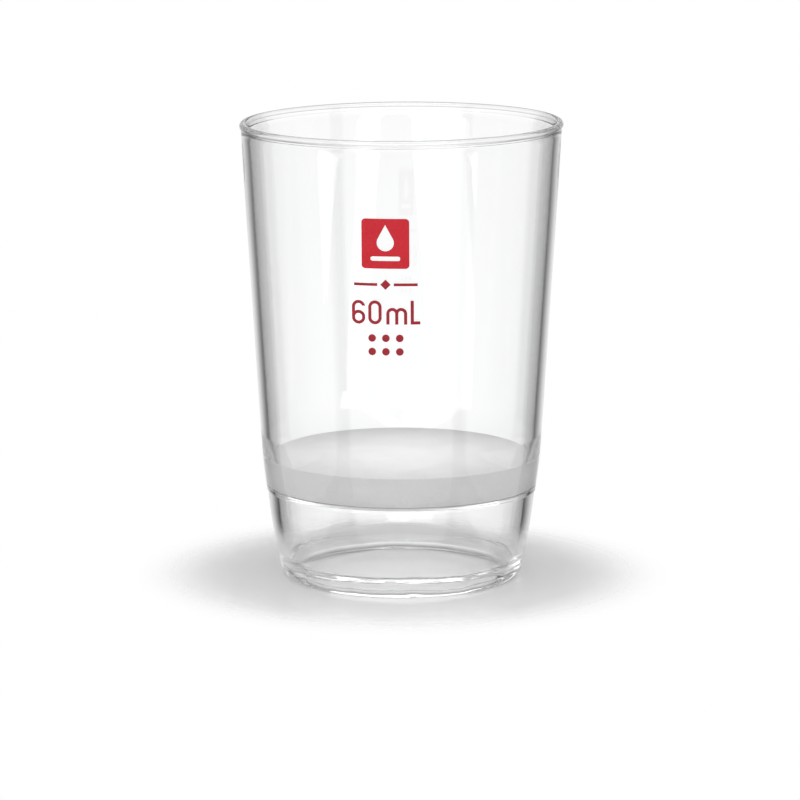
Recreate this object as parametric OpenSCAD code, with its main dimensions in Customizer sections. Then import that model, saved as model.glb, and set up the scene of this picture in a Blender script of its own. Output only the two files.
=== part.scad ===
// Stemless sintered-glass filter crucible: a tapered glass barrel with a porous glass disc
// fused across it, a short collar and foot bead below the disc, and fired enamel marks.
// Millimetres, +Z up, the foot rests on z = 0 and the marks face -Y.

/* [Overall] */
// Outer diameter over the fire-polished rim
rim_d = 48; // [47.9:0.1:48.4]
// Height from the resting plane to the top of the rim
total_h = 68.5; // [66:0.5:76]

/* [Barrel] */
// Outer diameter of the wall where it runs into the rim bead
mouth_d = 47.6; // [47.3:0.1:47.7]
// Outer diameter level with the top of the filter disc
shoulder_d = 41.6; // [41.5:0.1:41.8]
// Outer diameter at the seam where the barrel meets the collar
seam_d = 40.3; // [40.2:0.1:40.8]
// Wall thickness of the bowl
bowl_wall = 1.15; // [1.05:0.05:1.2]
// Depth below the rim at which the inner wall begins to turn out towards the rim bead
thin_h = 1.4; // [1.2:0.1:2]
// Radius of the rounded rim bead
rim_bead_r = 0.55; // [0.5:0.05:0.6]

/* [Filter disc] */
// Diameter of the sintered disc
disc_d = 38.7; // [38.6:0.05:38.7]
// Thickness of the sintered disc
disc_t = 4.35; // [4:0.05:4.6]
// Height of the underside of the disc above the resting plane
disc_z = 14.05; // [14:0.05:14.4]
// Outer diameter of the seal ring level with the top of the disc
seal_d = 40; // [40:0.1:40.2]
// Inner diameter of the fused wedge of glass round the top of the disc
wedge_d = 38.75; // [38.75:0.05:38.9]
// Height of that wedge up the wall
wedge_h = 3.2; // [2.8:0.1:3.6]
// How far that wedge is hollowed outside a straight cone
wedge_bow = 0.03; // [0.02:0.01:0.06]
// Radius of the fused fillet under the disc
bottom_fillet_r = 0.5; // [0.4:0.05:0.6]

/* [Collar and foot] */
// Height of the seam where the collar meets the barrel
seam_z = 12.9; // [12.7:0.05:13]
// Depth that the seal ring reaches in from the barrel at the seam
seal_skirt = 0.7; // [0.65:0.05:0.75]
// Outer diameter of the collar at the seam
collar_top_d = 40; // [39.9:0.1:40]
// Outer diameter of the collar where the foot bead begins
collar_foot_d = 37.3; // [37.1:0.1:37.6]
// Wall thickness of the collar
collar_wall = 1.35; // [1.3:0.05:1.4]
// How far the collar's outline bulges outside a straight cone
collar_bulge = 0.14; // [0.05:0.01:0.2]
// Height of the foot bead, up to the collar
foot_h = 4; // [3.6:0.1:4.4]
// Middle diameter of the foot bead, where it rests
foot_rest_d = 33.5; // [33.3:0.1:33.7]
// Radius of the foot bead's round section
foot_bead_r = 1.35; // [1.3:0.01:1.4]
// Angle off vertical, towards the bore, at which the foot bead leaves its round section
foot_bead_lean = 20; // [10:5:30]
// Depth of the flat on which the foot rests
foot_flat_depth = 0.05; // [0.03:0.01:0.08]

/* [Enamel marks] */
// Thickness of the fired enamel
enamel_t = 0.1; // [0.06:0.01:0.15]
// Width of the strokes of the figures
stroke = 0.45; // [0.35:0.05:0.5]
// Width of the square badge
badge_w = 6.9; // [6.5:0.1:7.5]
// Height of the square badge
badge_h = 7.3; // [7:0.1:7.6]
// Height of the centre of the badge above the resting plane
badge_z = 53.45; // [53:0.05:54]
// Width of the ornamental divider
divider_w = 9.2; // [8.6:0.1:9.6]
// Height of the centre of the divider
divider_z = 47.45; // [47.2:0.05:47.7]
// Height of the capacity figures
figure_h = 3.5; // [3.2:0.05:3.6]
// Height of the baseline of the capacity figures
figure_z = 41.6; // [41.4:0.05:41.8]
// Height of the centre of the porosity dots
dots_z = 38.55; // [38.2:0.05:38.7]
// Diameter of one porosity dot
dot_d = 1.1; // [0.8:0.05:1.2]

/* [Hidden] */
$fn = 96;

shoulder_z = disc_z + disc_t;
rim_bead_z = total_h - rim_bead_r;
rim_bead_mid_r = rim_d / 2 - rim_bead_r;
thin_z = total_h - thin_h;
wedge_z = shoulder_z + wedge_h;

// Depth to which the wall reaches into the rim bead
bead_bite = 0.1;

// Width of the blunt lip where the wedge dies out on the wall
lip = 0.06;

foot_bead_z = foot_bead_r - foot_flat_depth;
foot_mid_r = foot_rest_d / 2;
collar_in_top_r = collar_top_d / 2 - collar_wall;
collar_in_foot_r = collar_foot_d / 2 - collar_wall;

glass = [0.86, 0.92, 0.93, 0.35];
sinter = [0.93, 0.93, 0.91];
enamel = [0.76, 0.13, 0.17];

// Radius on the straight line from (r0, z0) to (r1, z1) at height z
function taper(r0, z0, r1, z1, z) = r0 + (r1 - r0) * (z - z0) / (z1 - z0);

// Outer radius of the barrel above the shoulder, where the marks sit
function barrel_r(z) = taper(shoulder_d / 2, shoulder_z, mouth_d / 2, rim_bead_z, z);

// Radii of the barrel's inner wall, from the seam up
seam_in_r = collar_in_top_r + seal_skirt;
wedge_in_r = barrel_r(wedge_z) - bowl_wall;
thin_in_r = barrel_r(thin_z) - bowl_wall;
mouth_in_r = rim_bead_mid_r - rim_bead_r + bead_bite;

// Points of a shallow arc from a to b that bulges sideways by rise, both ends included
function bowed(a, b, rise, steps) =
    let (across = [b[1] - a[1], a[0] - b[0]] / norm(b - a))
    [for (i = [0:steps]) let (t = i / steps) a + (b - a) * t + across * 4 * rise * t * (1 - t)];

// ---------------------------------------------------------------- glass

module upper_barrel() {
    color(glass)
    rotate_extrude() {
        polygon([
            [seam_in_r, seam_z],
            [seam_d / 2, seam_z],
            [shoulder_d / 2, shoulder_z],
            [mouth_d / 2, rim_bead_z],
            [mouth_in_r, rim_bead_z],
            [thin_in_r, thin_z],
            [wedge_in_r, wedge_z],
            [seal_d / 2, shoulder_z],
        ]);
        translate([rim_bead_mid_r, rim_bead_z]) circle(rim_bead_r);
    }
}

// Ring of fused glass round the disc: a hollowed wedge on top of its edge and a fillet under it
module seal_ring() {
    bottom_mid_r = collar_in_top_r - bottom_fillet_r;
    bottom_mid_z = disc_z - bottom_fillet_r;
    wall = [
        [collar_in_top_r, seam_z],
        [seam_in_r, seam_z],
        [seal_d / 2, shoulder_z],
        [wedge_in_r, wedge_z],
    ];
    wedge = bowed([wedge_in_r - lip, wedge_z], [wedge_d / 2, shoulder_z], -wedge_bow, 8);
    hug = [
        [disc_d / 2, shoulder_z],
        [disc_d / 2, disc_z],
        [bottom_mid_r, disc_z],
        [bottom_mid_r, bottom_mid_z],
        [collar_in_top_r, bottom_mid_z],
    ];
    color(glass)
    rotate_extrude()
    difference() {
        polygon(concat(wall, wedge, hug));
        translate([bottom_mid_r, bottom_mid_z]) circle(bottom_fillet_r);
    }
}

module filter_disc() {
    color(sinter) translate([0, 0, disc_z]) cylinder(h = disc_t, d = disc_d);
}

module lower_collar() {
    outer = bowed([collar_foot_d / 2, foot_h], [collar_top_d / 2, seam_z], collar_bulge, 8);
    inner = bowed([collar_in_top_r, seam_z], [collar_in_foot_r, foot_h], -collar_bulge, 8);
    color(glass) rotate_extrude() polygon(concat(outer, inner));
}

module foot_bead() {
    color(glass)
    rotate_extrude()
    difference() {
        union() {
            translate([foot_mid_r, foot_bead_z]) circle(foot_bead_r);
            polygon([
                [foot_mid_r, foot_bead_z],
                [foot_mid_r + foot_bead_r, foot_bead_z],
                [collar_foot_d / 2, foot_h],
                [collar_in_foot_r, foot_h],
                [foot_mid_r, foot_bead_z] + foot_bead_r * [-sin(foot_bead_lean), cos(foot_bead_lean)],
            ]);
        }
        translate([0, -foot_bead_r]) square([rim_d, foot_bead_r]);
    }
}

// ---------------------------------------------------------------- enamel marks

// Wraps a flat outline, drawn with x across and y up from z, onto the front of the barrel
module on_barrel(z, height) {
    low = z - height;
    high = z + height;
    intersection() {
        difference() {
            translate([0, 0, low])
                cylinder(h = high - low, r1 = barrel_r(low) + enamel_t, r2 = barrel_r(high) + enamel_t);
            translate([0, 0, low])
                cylinder(h = high - low, r1 = barrel_r(low), r2 = barrel_r(high));
        }
        translate([0, 0, z]) rotate([90, 0, 0]) linear_extrude(rim_d) children();
    }
}

module rounded_rect(w, h, r) {
    square([w - 2 * r, h], center = true);
    square([w, h - 2 * r], center = true);
    for (x = [-1, 1], y = [-1, 1]) translate([x * (w / 2 - r), y * (h / 2 - r)]) circle(r);
}

// Falling drop: a round belly with two straight sides that meet at the tip
module drop(r, tip) {
    lean = acos(r / tip);
    circle(r);
    polygon([[0, tip], r * [sin(lean), cos(lean)], r * [-sin(lean), cos(lean)]]);
}

module badge_print() {
    corner_r = 0.552;
    drop_r = 1.242;
    drop_tip = 2.6082;
    drop_up = 0.146;
    bar_w = 4.278;
    bar_h = 0.657;
    bar_r = 0.29565;
    bar_down = 2.19;
    color(enamel)
    on_barrel(badge_z, badge_h)
    difference() {
        rounded_rect(badge_w, badge_h, corner_r);
        translate([0, drop_up]) drop(drop_r, drop_tip);
        translate([0, -bar_down]) rounded_rect(bar_w, bar_h, bar_r);
    }
}

module divider_print() {
    diamond = 1.5;
    gap = 0.45;
    rule = 0.4;
    rule_w = divider_w / 2 - diamond / 2 - gap;
    color(enamel)
    on_barrel(divider_z, diamond) {
        rotate(45) square(diamond / sqrt(2), center = true);
        for (side = [-1, 1]) translate([side * (divider_w - rule_w) / 2, 0])
            square([rule_w, rule], center = true);
    }
}

// Outline of a slot with round ends, w wide and h high, standing on y = 0
module slot_outline(w, h) {
    translate([-w / 2, w / 2]) square([w, h - w]);
    for (y = [w / 2, h - w / 2]) translate([0, y]) circle(w / 2);
}

module figure_ring(w, h) {
    difference() {
        slot_outline(w, h);
        translate([0, stroke]) slot_outline(w - 2 * stroke, h - 2 * stroke);
    }
}

// Figure 6: a full ring for the bowl, and the left side and top of a tall ring for the stem
module figure_six(w, h) {
    bowl_h = h * 0.58;
    hook_h = w * 0.42;
    figure_ring(w, bowl_h);
    intersection() {
        figure_ring(w, h);
        union() {
            translate([-w / 2, 0]) square([w / 2, h]);
            translate([-w / 2, h - hook_h]) square([w, hook_h]);
        }
    }
}

module letter_m(w, h) {
    arch = (w + stroke) / 2;
    for (side = [-1, 1]) translate([side * (w - arch) / 2, 0])
        intersection() {
            translate([0, -h]) figure_ring(arch, 2 * h);
            translate([-w, 0]) square([2 * w, h]);
        }
}

module letter_l(w, h) {
    square([stroke, h]);
    square([w, stroke]);
}

// Nominal capacity as generic figures, drawn from bars and round ends
module capacity_print() {
    digit_w = 1.95;
    m_w = 3;
    m_h = figure_h * 0.7;
    l_w = 1.35;
    digit_gap = 0.45;
    unit_gap = 0.68;
    letter_gap = 0.5;
    line_w = 2 * digit_w + digit_gap + unit_gap + m_w + letter_gap + l_w;
    x0 = digit_w / 2 - line_w / 2;
    x1 = x0 + digit_w + digit_gap;
    x2 = x1 + digit_w / 2 + unit_gap + m_w / 2;
    x3 = x2 + m_w / 2 + letter_gap;
    color(enamel)
    on_barrel(figure_z, 2 * figure_h) {
        translate([x0, 0]) figure_six(digit_w, figure_h);
        translate([x1, 0]) figure_ring(digit_w, figure_h);
        translate([x2, 0]) letter_m(m_w, m_h);
        translate([x3, 0]) letter_l(l_w, figure_h);
    }
}

// Six pores in two rows: the finest porosity step, with no lettering
module porosity_print() {
    pitch = 2;
    color(enamel)
    on_barrel(dots_z, 2 * pitch)
    for (x = [-1:1], y = [-0.5, 0.5]) translate([x, y] * pitch) circle(d = dot_d);
}

upper_barrel();
seal_ring();
filter_disc();
lower_collar();
foot_bead();
badge_print();
divider_print();
capacity_print();
porosity_print();
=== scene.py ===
"""Looks for the stemless sintered-glass filter crucible, built round its CAD frame.

Metres, +Z up, the foot on z = 0 and the enamel marks towards -Y. The clear glass is four lathe-turned
pieces that meet at see-through fused faces, so light bends only where glass meets air.
"""
import math

import bpy
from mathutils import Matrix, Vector


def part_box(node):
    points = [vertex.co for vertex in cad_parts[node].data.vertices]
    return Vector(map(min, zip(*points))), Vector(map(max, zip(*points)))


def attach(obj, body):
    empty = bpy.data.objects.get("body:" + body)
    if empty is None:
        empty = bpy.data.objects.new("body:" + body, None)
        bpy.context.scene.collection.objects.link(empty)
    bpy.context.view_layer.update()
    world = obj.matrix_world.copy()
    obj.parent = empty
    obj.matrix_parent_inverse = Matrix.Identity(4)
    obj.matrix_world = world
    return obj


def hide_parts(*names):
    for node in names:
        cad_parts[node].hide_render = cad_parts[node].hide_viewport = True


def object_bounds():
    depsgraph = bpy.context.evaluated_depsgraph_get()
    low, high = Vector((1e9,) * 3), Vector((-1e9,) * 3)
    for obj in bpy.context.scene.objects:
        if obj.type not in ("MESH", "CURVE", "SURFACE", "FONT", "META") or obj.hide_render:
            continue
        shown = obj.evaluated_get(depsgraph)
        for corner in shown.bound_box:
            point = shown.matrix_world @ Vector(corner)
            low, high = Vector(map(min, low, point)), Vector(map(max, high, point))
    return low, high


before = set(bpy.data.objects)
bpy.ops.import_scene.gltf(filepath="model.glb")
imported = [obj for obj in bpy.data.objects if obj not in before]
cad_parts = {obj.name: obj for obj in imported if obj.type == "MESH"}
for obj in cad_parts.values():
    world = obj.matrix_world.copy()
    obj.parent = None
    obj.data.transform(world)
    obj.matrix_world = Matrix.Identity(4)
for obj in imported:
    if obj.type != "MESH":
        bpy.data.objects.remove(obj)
cad_low, cad_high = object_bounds()

MM = 0.001

# ---------------------------------------------------------------- sizes of the glass, in millimetres

RIM_R = cad_high.x / MM
TOP_Z = cad_high.z / MM
SEAM_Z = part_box("upper_barrel")[0].z / MM
DISC_BOTTOM_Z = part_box("filter_disc")[0].z / MM
DISC_TOP_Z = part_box("filter_disc")[1].z / MM
DISC_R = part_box("filter_disc")[1].x / MM
FOOT_TOP_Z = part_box("foot_bead")[1].z / MM
COLLAR_FOOT_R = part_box("foot_bead")[1].x / MM
COLLAR_TOP_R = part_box("lower_collar")[1].x / MM

MOUTH_R = 23.8
SHOULDER_R = 20.8
SEAM_R = 20.15
BOWL_WALL = 1.15
THIN_H = 1.4
RIM_BEAD_R = 0.55
BEAD_BITE = 0.1
SEAL_R = 20
WEDGE_R = 19.375
WEDGE_H = 3.2
WEDGE_BOW = 0.03
BOTTOM_FILLET_R = 0.5
SEAL_SKIRT = 0.7
COLLAR_WALL = 1.35
COLLAR_BULGE = 0.14
FOOT_MID_R = 16.75
FOOT_BEAD_R = 1.35
FOOT_FLAT_DEPTH = 0.05

RIM_BEAD_Z = TOP_Z - RIM_BEAD_R
RIM_BEAD_MID_R = RIM_R - RIM_BEAD_R
MOUTH_IN_R = RIM_BEAD_MID_R - RIM_BEAD_R + BEAD_BITE
THIN_Z = TOP_Z - THIN_H
WEDGE_Z = DISC_TOP_Z + WEDGE_H
COLLAR_IN_TOP_R = COLLAR_TOP_R - COLLAR_WALL
COLLAR_IN_FOOT_R = COLLAR_FOOT_R - COLLAR_WALL
SEAM_IN_R = COLLAR_IN_TOP_R + SEAL_SKIRT
FOOT_BEAD_Z = FOOT_BEAD_R - FOOT_FLAT_DEPTH

TURNS = 192                 # faces round each glass piece
FLOOR_GAP = 0.05            # keeps the floor off the foot's flat, so that the two don't share a plane
MARK_BED = 0.03             # how far the glass rises round the enamel, so that the two are in optical contact
DISC_BED = 0.02             # how far the sintered disc reaches into the seal
DISC_EDGE = 0.1             # chamfer on the sintered disc
DISC_MID_R = 0.001          # keeps the middle of the turned disc from folding onto one point
RIM_DROP = 0.3              # how much lower the hand-worked rim is on one side
SEAM_LIFT = 0.7             # how much higher the hand-fused seam runs in front than at the sides
FOOT_WAVE = 0.24            # depth of the wrinkles inside the foot bead

GLASS_IOR = 1.473           # borosilicate
FLOOR_R = 110               # radius of the floor disc
FLOOR_SOLID_R = 23          # the floor is opaque out to here
FLOOR_GONE_R = 42           # and see-through from here on

GLASS, FUSED = 0, 1         # material slots of a glass piece: its skin, and the faces where pieces fuse


# ---------------------------------------------------------------- outlines

def lerp(a, b, t):
    return a + (b - a) * t


def arc(mid_r, mid_z, radius, start, end, steps):
    """Points on a circle about (mid_r, mid_z), from start to end in degrees, both ends included."""
    turns = [math.radians(lerp(start, end, i / steps)) for i in range(steps + 1)]
    return [(mid_r + radius * math.cos(t), mid_z + radius * math.sin(t)) for t in turns]


def smooth(points, steps):
    """A Catmull-Rom curve through the points, with steps spans between each pair."""
    ends = [points[0]] + list(points) + [points[-1]]
    out = []
    for i in range(1, len(ends) - 2):
        p0, p1, p2, p3 = (Vector(p) for p in ends[i - 1:i + 3])
        for k in range(steps):
            t = k / steps
            out.append(tuple(0.5 * (2 * p1 + (p2 - p0) * t + (2 * p0 - 5 * p1 + 4 * p2 - p3) * t ** 2
                                    + (3 * p1 - p0 - 3 * p2 + p3) * t ** 3)))
    return out + [tuple(points[-1])]


def bowed(a, b, rise, steps):
    """A shallow arc from a to b that bulges to the right of its way by rise."""
    length = math.dist(a, b)
    across = ((b[1] - a[1]) / length, (a[0] - b[0]) / length)
    out = []
    for i in range(steps + 1):
        t = i / steps
        push = 4 * rise * t * (1 - t)
        out.append((lerp(a[0], b[0], t) + across[0] * push, lerp(a[1], b[1], t) + across[1] * push))
    return out


def outline(*runs):
    """Joins runs of (points, slot) into one closed outline of (r, z, slot of the face to the next point)."""
    out = []
    for points, slot in runs:
        for r, z in points:
            if out and math.dist((r, z), out[-1][:2]) < 1e-6:
                out[-1] = (r, z, slot)
            else:
                out.append((r, z, slot))
    if math.dist(out[0][:2], out[-1][:2]) < 1e-6:
        out.pop()
    return out


def barrel_outer_r(z):
    """Outer radius of the barrel above the shoulder."""
    return lerp(SHOULDER_R, MOUTH_R, (z - DISC_TOP_Z) / (RIM_BEAD_Z - DISC_TOP_Z))


def barrel_inner_r(z):
    """Inner radius of the bowl, whose wall is even up to THIN_Z and then thins into the rim bead."""
    return lerp(barrel_outer_r(z) - BOWL_WALL, MOUTH_IN_R, max(0.0, (z - THIN_Z) / (RIM_BEAD_Z - THIN_Z)))


# ---------------------------------------------------------------- glass pieces

def lathe(name, section, reshape=None):
    """A closed ring: the outline turned about Z. reshape(r, z, turn) may move a point a little."""
    points = [(r, z, 2 * math.pi * i / TURNS) for i in range(TURNS) for r, z, _ in section]
    if reshape:
        points = [(*reshape(r, z, turn), turn) for r, z, turn in points]
    verts = [(r * MM * math.cos(t), r * MM * math.sin(t), z * MM) for r, z, t in points]
    n = len(section)
    faces = []
    slots = []
    for i in range(TURNS):
        here, after = i * n, (i + 1) % TURNS * n
        for k in range(n):
            k2 = (k + 1) % n
            faces.append((here + k, after + k, after + k2, here + k2))
            slots.append(section[k][2])
    mesh = bpy.data.meshes.new(name)
    mesh.from_pydata(verts, [], faces)
    mesh.polygons.foreach_set("use_smooth", [True] * len(faces))
    mesh.polygons.foreach_set("material_index", slots)
    mesh.update()
    mark_sharp(mesh)
    piece = bpy.data.objects.new(name, mesh)
    bpy.context.scene.collection.objects.link(piece)
    return piece


def mark_sharp(mesh, angle=math.radians(50)):
    """Keeps a crease where two slots meet and at steep corners, and shades the rest smooth."""
    sides = {}
    for face in mesh.polygons:
        for key in face.edge_keys:
            sides.setdefault(key, []).append(face)
    sharp = []
    for edge in mesh.edges:
        pair = sides[edge.key]
        sharp.append(len(pair) == 2 and (pair[0].material_index != pair[1].material_index
                                         or pair[0].normal.angle(pair[1].normal, 0) > angle))
    mesh.edges.foreach_set("use_edge_sharp", sharp)


def barrel_section():
    """The bowl: its bed for the marks spans 24 to 58, and a bead rounds the rim."""
    bead = arc(RIM_BEAD_MID_R, RIM_BEAD_Z, RIM_BEAD_R, -25, 195, 32)
    outer = smooth([(SEAM_R, SEAM_Z + 0.12), (20.42, 15.2), (20.66, 17.2), (barrel_outer_r(19.6), 19.6)]
                   + [(barrel_outer_r(z) + MARK_BED, z) for z in (24, 34, 46, 58)]
                   + [(barrel_outer_r(z), z) for z in (64, RIM_BEAD_Z - 0.9)] + bead[:1], 8)
    inner_heights = (THIN_Z + 0.3, THIN_Z - 0.2, 64, 50, 38, 28, WEDGE_Z)
    inner = smooth(bead[-1:] + [(barrel_inner_r(z), z) for z in inner_heights], 8)
    seal = [(barrel_inner_r(WEDGE_Z), WEDGE_Z), (SEAL_R, DISC_TOP_Z), (SEAM_IN_R, SEAM_Z)]
    base = [(SEAM_IN_R, SEAM_Z), (COLLAR_TOP_R, SEAM_Z)]
    ledge = [(COLLAR_TOP_R, SEAM_Z), (SEAM_R - 0.06, SEAM_Z + 0.03)]
    return outline((outer, GLASS), (bead, GLASS), (inner, GLASS), (seal, FUSED), (base, FUSED),
                   (ledge, GLASS))


def seal_section():
    bottom_mid_r = COLLAR_IN_TOP_R - BOTTOM_FILLET_R
    bottom_mid_z = DISC_BOTTOM_Z - BOTTOM_FILLET_R
    top = (barrel_inner_r(WEDGE_Z), WEDGE_Z)
    wall = [(SEAM_IN_R, SEAM_Z), (SEAL_R, DISC_TOP_Z), top]
    wedge = bowed(top, (WEDGE_R, DISC_TOP_Z), -WEDGE_BOW, 24)
    hug = [(WEDGE_R, DISC_TOP_Z), (DISC_R, DISC_TOP_Z), (DISC_R, DISC_BOTTOM_Z),
           (bottom_mid_r, DISC_BOTTOM_Z)]
    bottom = arc(bottom_mid_r, bottom_mid_z, BOTTOM_FILLET_R, 90, 0, 14)
    skirt = [(COLLAR_IN_TOP_R, bottom_mid_z), (COLLAR_IN_TOP_R, SEAM_Z)]
    base = [(COLLAR_IN_TOP_R, SEAM_Z), (SEAM_IN_R, SEAM_Z)]
    return outline((wall, FUSED), (wedge, GLASS), (hug, FUSED), (bottom, GLASS), (skirt, GLASS),
                   (base, FUSED))


def collar_section():
    outer = bowed((COLLAR_FOOT_R, FOOT_TOP_Z), (COLLAR_TOP_R, SEAM_Z), COLLAR_BULGE, 16)
    top = [(COLLAR_TOP_R, SEAM_Z), (SEAM_IN_R, SEAM_Z), (COLLAR_IN_TOP_R, SEAM_Z)]
    inner = bowed((COLLAR_IN_TOP_R, SEAM_Z), (COLLAR_IN_FOOT_R, FOOT_TOP_Z), -COLLAR_BULGE, 16)
    base = [(COLLAR_IN_FOOT_R, FOOT_TOP_Z), (COLLAR_FOOT_R, FOOT_TOP_Z)]
    return outline((outer, GLASS), (top, FUSED), (inner, GLASS), (base, FUSED))


def foot_section():
    flat = math.sqrt(FOOT_BEAD_R ** 2 - FOOT_BEAD_Z ** 2)
    low = math.degrees(math.asin(FOOT_BEAD_Z / FOOT_BEAD_R))
    rest = [(FOOT_MID_R - flat, 0), (FOOT_MID_R + flat, 0)]
    outer_round = arc(FOOT_MID_R, FOOT_BEAD_Z, FOOT_BEAD_R, -low, 5, 18)
    outer = smooth([outer_round[-1], (COLLAR_FOOT_R, FOOT_TOP_Z)], 8)
    top = [(COLLAR_FOOT_R, FOOT_TOP_Z), (COLLAR_IN_FOOT_R, FOOT_TOP_Z)]
    inner_round = arc(FOOT_MID_R, FOOT_BEAD_Z, FOOT_BEAD_R, 110, 180 + low, 20)
    neck = (COLLAR_IN_FOOT_R - 0.25, FOOT_TOP_Z - 0.9)
    inner = smooth([(COLLAR_IN_FOOT_R, FOOT_TOP_Z), neck, inner_round[0]], 6)
    return outline((rest, GLASS), (outer_round, GLASS), (outer, GLASS), (top, FUSED), (inner, GLASS),
                   (inner_round, GLASS))


def wave(turn):
    """Slow unevenness round the glass, from -1 to 1, as a hand-held tool leaves it."""
    return (0.45 * math.sin(3 * turn + 0.4) + 0.3 * math.sin(5 * turn + 2.1)
            + 0.15 * math.sin(11 * turn + 4.0) + 0.1 * math.sin(17 * turn + 1.0))


def lift_seam(r, z, turn):
    """Raises the outer edge of the seam in front, and the glass just above and below it less and less."""
    if r < SEAM_IN_R + 0.3:
        return r, z
    return r, z + SEAM_LIFT * max(0.0, 1 - abs(z - SEAM_Z) / 2) * max(0.0, -math.sin(turn))


def shape_barrel(r, z, turn):
    """Lets the barrel lean by a hair: its left side is RIM_DROP lower at the rim than its right."""
    share = max(0.0, (z - WEDGE_Z) / (TOP_Z - WEDGE_Z))
    r, z = lift_seam(r, z, turn)
    return r, z - RIM_DROP * share * 0.5 * (1 - math.cos(turn))


def rough_foot(r, z, turn):
    """Wrinkles the inside of the foot bead and leaves its outside and both of its flats alone."""
    middle = lerp(FOOT_MID_R, (COLLAR_FOOT_R + COLLAR_IN_FOOT_R) / 2, z / FOOT_TOP_Z)
    share = max(0.0, min(1.0, (middle - r) / 0.5)) * min(1.0, z / 0.4) * (1 - (z / FOOT_TOP_Z) ** 2)
    return r - FOOT_WAVE * share * (0.6 + wave(turn)), z + FOOT_WAVE * share * wave(2 * turn + 1.3)


# ---------------------------------------------------------------- materials

def new_material(name):
    made = bpy.data.materials.new(name)
    made.use_nodes = True
    nodes = made.node_tree.nodes
    return made, nodes, made.node_tree.links, nodes["Principled BSDF"]


def solid_place(nodes, links, stretch=(1, 1, 1)):
    """Object coordinates in metres, stretched along each axis."""
    place = nodes.new("ShaderNodeTexCoord")
    scaled = nodes.new("ShaderNodeMapping")
    scaled.inputs["Scale"].default_value = stretch
    links.new(place.outputs["Object"], scaled.inputs["Vector"])
    return scaled.outputs["Vector"]


def noise_value(nodes, links, place, grain, detail=3):
    """Noise whose features are about grain millimetres across."""
    texture = nodes.new("ShaderNodeTexNoise")
    texture.inputs["Scale"].default_value = 1 / (grain * MM)
    texture.inputs["Detail"].default_value = detail
    links.new(place, texture.inputs["Vector"])
    return texture.outputs["Fac"]


def spread_value(nodes, links, value, low, high):
    """Spreads the middle of a noise value over low to high."""
    spread = nodes.new("ShaderNodeMapRange")
    spread.inputs["From Min"].default_value = 0.3
    spread.inputs["From Max"].default_value = 0.7
    spread.inputs["To Min"].default_value = low
    spread.inputs["To Max"].default_value = high
    links.new(value, spread.inputs["Value"])
    return spread.outputs["Result"]


def blend_colour(nodes, links, factor, low, high):
    blend = nodes.new("ShaderNodeMix")
    blend.data_type = "RGBA"
    blend.inputs["A"].default_value = (*low, 1)
    blend.inputs["B"].default_value = (*high, 1)
    links.new(factor, blend.inputs["Factor"])
    return blend.outputs["Result"]


def raise_surface(nodes, links, height, depth, strength=1.0):
    """A bump that is depth millimetres deep."""
    bump = nodes.new("ShaderNodeBump")
    bump.inputs["Distance"].default_value = depth * MM
    bump.inputs["Strength"].default_value = strength
    links.new(height, bump.inputs["Height"])
    return bump.outputs["Normal"]


def glass_material(name, ripple, clear):
    """Clear borosilicate glass with faint lengthwise streaks, ripple millimetres deep.

    clear is the share of light that a surface lets through; the collar and the foot are given less than the
    barrel, so they come out a little darker.
    """
    made, nodes, links, shader = new_material(name)
    streaks = noise_value(nodes, links, solid_place(nodes, links, (1, 1, 0.2)), 7, 1)
    smears = noise_value(nodes, links, solid_place(nodes, links), 12, 2)
    dull, bright = (0.982, 0.99, 0.986), (0.994, 0.996, 0.995)
    tint = blend_colour(nodes, links, smears, [clear * c for c in dull], [clear * c for c in bright])
    links.new(tint, shader.inputs["Base Color"])
    links.new(spread_value(nodes, links, smears, 0.0, 0.012), shader.inputs["Roughness"])
    links.new(raise_surface(nodes, links, streaks, ripple), shader.inputs["Normal"])
    shader.inputs["IOR"].default_value = GLASS_IOR
    shader.inputs["Transmission Weight"].default_value = 1.0
    return made


def fused_material():
    """Where two glass pieces are fused there is no surface, so light goes straight on."""
    made, nodes, links, shader = new_material("fused_face")
    shader.inputs["Alpha"].default_value = 0.0
    return made


def sinter_material():
    """Sintered glass powder: matt white grains with fine pores and a faint mottle."""
    made, nodes, links, shader = new_material("sintered_glass")
    place = solid_place(nodes, links)
    grains = nodes.new("ShaderNodeTexVoronoi")
    grains.inputs["Scale"].default_value = 1 / (0.35 * MM)
    links.new(place, grains.inputs["Vector"])
    mottle = noise_value(nodes, links, place, 4, 4)
    speckle = nodes.new("ShaderNodeMath")
    speckle.operation = "MULTIPLY_ADD"
    speckle.inputs[1].default_value = 0.5
    links.new(grains.outputs["Distance"], speckle.inputs[0])
    links.new(spread_value(nodes, links, mottle, 0.0, 0.6), speckle.inputs[2])
    colour = blend_colour(nodes, links, speckle.outputs["Value"], (0.98, 0.98, 0.975), (0.91, 0.91, 0.905))
    links.new(colour, shader.inputs["Base Color"])
    links.new(spread_value(nodes, links, mottle, 0.8, 0.95), shader.inputs["Roughness"])
    links.new(raise_surface(nodes, links, grains.outputs["Distance"], 0.06, 0.6), shader.inputs["Normal"])
    return made


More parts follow.
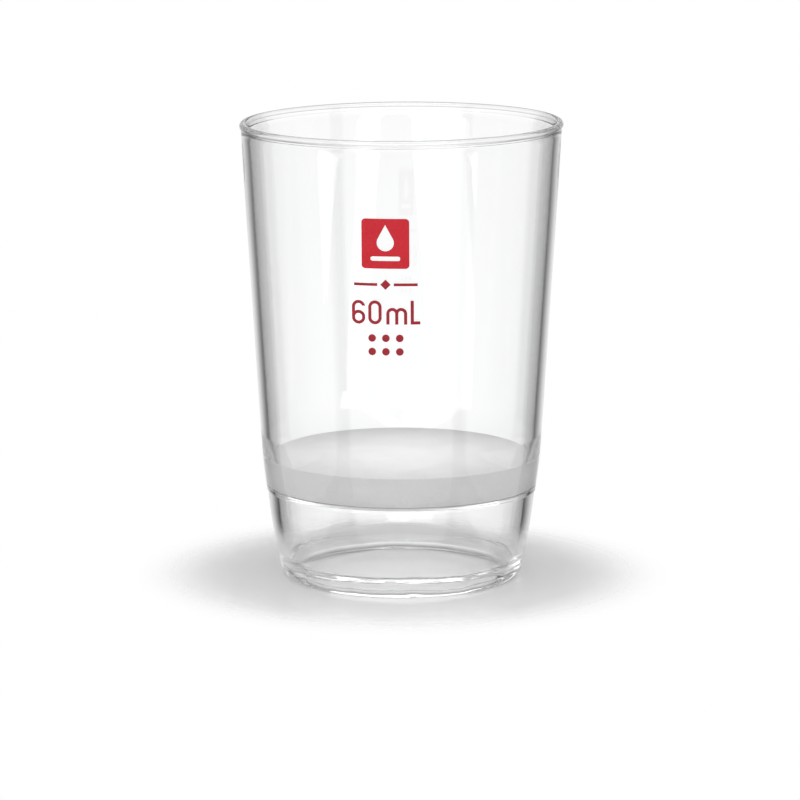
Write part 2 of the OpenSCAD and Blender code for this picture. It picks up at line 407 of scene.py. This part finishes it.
def enamel_material(name, thin, thick):
    """Fired enamel, a little uneven in how thickly it was printed."""
    made, nodes, links, shader = new_material(name)
    place = solid_place(nodes, links)
    fine = noise_value(nodes, links, place, 0.35, 3)
    broad = noise_value(nodes, links, place, 2.5, 2)
    depth = nodes.new("ShaderNodeMath")
    depth.operation = "MULTIPLY"
    links.new(spread_value(nodes, links, fine, 0.4, 1.0), depth.inputs[0])
    links.new(spread_value(nodes, links, broad, 0.6, 1.0), depth.inputs[1])
    links.new(blend_colour(nodes, links, depth.outputs["Value"], thin, thick), shader.inputs["Base Color"])
    links.new(spread_value(nodes, links, broad, 0.35, 0.55), shader.inputs["Roughness"])
    links.new(raise_surface(nodes, links, fine, 0.01, 0.5), shader.inputs["Normal"])
    shader.inputs["Specular IOR Level"].default_value = 0.25
    return made


# ---------------------------------------------------------------- the object

def build_glass():
    fused = fused_material()
    rows = (
        ("glass_barrel", barrel_section(), "upper_barrel", "barrel_glass", shape_barrel, 0.012, 1.0),
        ("glass_seal_ring", seal_section(), "seal_ring", "seal_glass", None, 0.012, 1.0),
        ("glass_collar", collar_section(), "lower_collar", "collar_glass", lift_seam, 0.02, 0.975),
        ("glass_foot_bead", foot_section(), "foot_bead", "foot_glass", rough_foot, 0.03, 0.985),
    )
    for name, section, node, slot, reshape, ripple, clear in rows:
        piece = lathe(name, section, reshape)
        piece.data.materials.append(glass_material(slot, ripple, clear))
        piece.data.materials.append(fused)
        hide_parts(node)
        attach(piece, "root")


def build_disc():
    r = DISC_R + DISC_BED
    low, high = DISC_BOTTOM_Z - DISC_BED, DISC_TOP_Z + DISC_BED
    section = [(DISC_MID_R, low, 0), (r - DISC_EDGE, low, 0), (r, low + DISC_EDGE, 0),
               (r, high - DISC_EDGE, 0), (r - DISC_EDGE, high, 0), (DISC_MID_R, high, 0)]
    piece = lathe("sintered_disc", section)
    piece.data.materials.append(sinter_material())
    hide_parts("filter_disc")
    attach(piece, "root")


def paint_marks():
    badge = enamel_material("badge_enamel", (0.64, 0.02, 0.035), (0.5, 0.01, 0.02))
    mark = enamel_material("mark_enamel", (0.4, 0.02, 0.035), (0.28, 0.01, 0.02))
    for node in ("badge_print", "divider_print", "capacity_print", "porosity_print"):
        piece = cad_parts[node]
        piece.data.materials.clear()
        piece.data.materials.append(badge if node == "badge_print" else mark)


# ---------------------------------------------------------------- studio

VIEW_AZIMUTH = math.radians(5.8)
VIEW_PITCH = math.radians(10.78)
VIEW_DISTANCE = 0.6607      # metres
AIM = Vector((-0.0002, 0, 0.0263))
LENS = 198.7
SENSOR_WIDTH = 36

BELT_EDGES = (0.28, 0.6)    # how steeply up or down the tent's belt starts and stops turning pale
BELT_TONE = (0.06, 0.06, 0.06)
TENT_TONE = (0.62, 0.62, 0.62)
BOUNCES = 64                # the rim bead and the foot carry light round inside them many times


def make_camera():
    data = bpy.data.cameras.new("camera")
    data.lens = LENS
    data.sensor_width = SENSOR_WIDTH
    camera = bpy.data.objects.new("camera", data)
    back = Vector((math.sin(VIEW_AZIMUTH) * math.cos(VIEW_PITCH),
                   -math.cos(VIEW_AZIMUTH) * math.cos(VIEW_PITCH), math.sin(VIEW_PITCH)))
    camera.location = AIM + back * VIEW_DISTANCE
    camera.rotation_mode = "QUATERNION"
    camera.rotation_quaternion = (-back).to_track_quat("-Z", "Y")
    bpy.context.scene.collection.objects.link(camera)
    bpy.context.scene.camera = camera
    return camera


def area_light(name, size, watts, place, aim, camera=None, spread=math.pi):
    """A soft panel at place that faces aim, in the camera's space if one is given."""
    data = bpy.data.lights.new(name, "AREA")
    data.shape = "RECTANGLE"
    data.size, data.size_y = size
    data.energy = watts
    data.spread = spread
    light = bpy.data.objects.new(name, data)
    light.location = place
    light.rotation_mode = "QUATERNION"
    light.rotation_quaternion = (Vector(aim) - Vector(place)).to_track_quat("-Z", "Y")
    bpy.context.scene.collection.objects.link(light)
    if camera:
        light.parent = camera


def make_world():
    """A light tent: white to the camera, and for all other light pale above and below with a dark belt."""
    world = bpy.data.worlds.new("studio")
    world.use_nodes = True
    nodes, links = world.node_tree.nodes, world.node_tree.links
    place = nodes.new("ShaderNodeTexCoord")
    split = nodes.new("ShaderNodeSeparateXYZ")
    steep = nodes.new("ShaderNodeMath")
    steep.operation = "ABSOLUTE"
    belt = nodes.new("ShaderNodeMapRange")
    belt.interpolation_type = "SMOOTHSTEP"
    belt.inputs["From Min"].default_value, belt.inputs["From Max"].default_value = BELT_EDGES
    links.new(place.outputs["Generated"], split.inputs["Vector"])
    links.new(split.outputs["Z"], steep.inputs[0])
    links.new(steep.outputs["Value"], belt.inputs["Value"])
    tent = blend_colour(nodes, links, belt.outputs["Result"], BELT_TONE, TENT_TONE)
    path = nodes.new("ShaderNodeLightPath")
    tone = nodes.new("ShaderNodeMix")
    tone.data_type = "RGBA"
    tone.inputs["B"].default_value = (1, 1, 1, 1)
    links.new(path.outputs["Is Camera Ray"], tone.inputs["Factor"])
    links.new(tent, tone.inputs["A"])
    links.new(tone.outputs["Result"], nodes["Background"].inputs["Color"])
    bpy.context.scene.world = world


def make_lights(camera):
    """Panels and strips that ride with the camera, and two lights that stay put."""
    subject = (0, 0, -VIEW_DISTANCE)
    area_light("back_panel", (2.6, 2.6), 2.75, (0, 0, -VIEW_DISTANCE - 0.8), subject, camera, math.radians(70))
    area_light("left_side", (1.26, 1.2), 3.9, (-0.9, 0.1, -VIEW_DISTANCE), subject, camera)
    area_light("right_side", (1.26, 1.2), 3.9, (0.9, 0.1, -VIEW_DISTANCE), subject, camera)
    area_light("front_panel", (1.7, 1.6), 6.6, (0, 0, 0.15), subject, camera)
    area_light("left_strip", (0.17, 0.9), 0.9, (-0.38, -0.1, -0.06), subject, camera)
    area_light("right_strip", (0.07, 0.9), 0.4, (0.31, -0.1, -0.03), subject, camera)
    area_light("top_softbox", (0.6, 0.6), 2.85, (0, 0, 0.8), (0, 0, 0))
    area_light("light_through_disc", (0.03, 0.03), 0.003, (0, 0, (DISC_BOTTOM_Z - 0.3) * MM), (0, 0, 0))


def make_floor():
    """A plain pale floor that fades out round the object."""
    mesh = bpy.data.meshes.new("floor")
    rings, spokes = 24, 96
    verts = [(0, 0, 0)]
    faces = []
    for ring in range(1, rings + 1):
        for spoke in range(spokes):
            turn = 2 * math.pi * spoke / spokes
            r = FLOOR_R * MM * ring / rings
            verts.append((r * math.cos(turn), r * math.sin(turn), 0))
    for spoke in range(spokes):
        after = (spoke + 1) % spokes
        faces.append((0, 1 + spoke, 1 + after))
        for ring in range(rings - 1):
            low, high = 1 + ring * spokes, 1 + (ring + 1) * spokes
            faces.append((low + spoke, high + spoke, high + after, low + after))
    mesh.from_pydata(verts, [], faces)
    floor = bpy.data.objects.new("floor", mesh)
    floor.location.z = -FLOOR_GAP * MM
    bpy.context.scene.collection.objects.link(floor)
    made, nodes, links, shader = new_material("floor")
    shader.inputs["Base Color"].default_value = (0.72, 0.72, 0.72, 1)
    shader.inputs["Roughness"].default_value = 0.3
    place = nodes.new("ShaderNodeTexCoord")
    length = nodes.new("ShaderNodeVectorMath")
    length.operation = "LENGTH"
    fade = nodes.new("ShaderNodeMapRange")
    fade.interpolation_type = "SMOOTHERSTEP"
    fade.inputs["From Min"].default_value = FLOOR_SOLID_R * MM
    fade.inputs["From Max"].default_value = FLOOR_GONE_R * MM
    fade.inputs["To Min"].default_value = 1
    fade.inputs["To Max"].default_value = 0
    links.new(place.outputs["Object"], length.inputs[0])
    links.new(length.outputs["Value"], fade.inputs["Value"])
    links.new(fade.outputs["Result"], shader.inputs["Alpha"])
    mesh.materials.append(made)


def set_bounces():
    """Lets light in and out of the thick glass, and through the fused faces on its way."""
    cycles = bpy.context.scene.cycles
    cycles.max_bounces = BOUNCES
    cycles.transmission_bounces = BOUNCES
    cycles.glossy_bounces = BOUNCES
    cycles.transparent_max_bounces = BOUNCES


build_glass()
build_disc()
paint_marks()
make_floor()
make_world()
make_lights(make_camera())
bpy.context.scene.view_settings.view_transform = "Standard"
set_bounces()
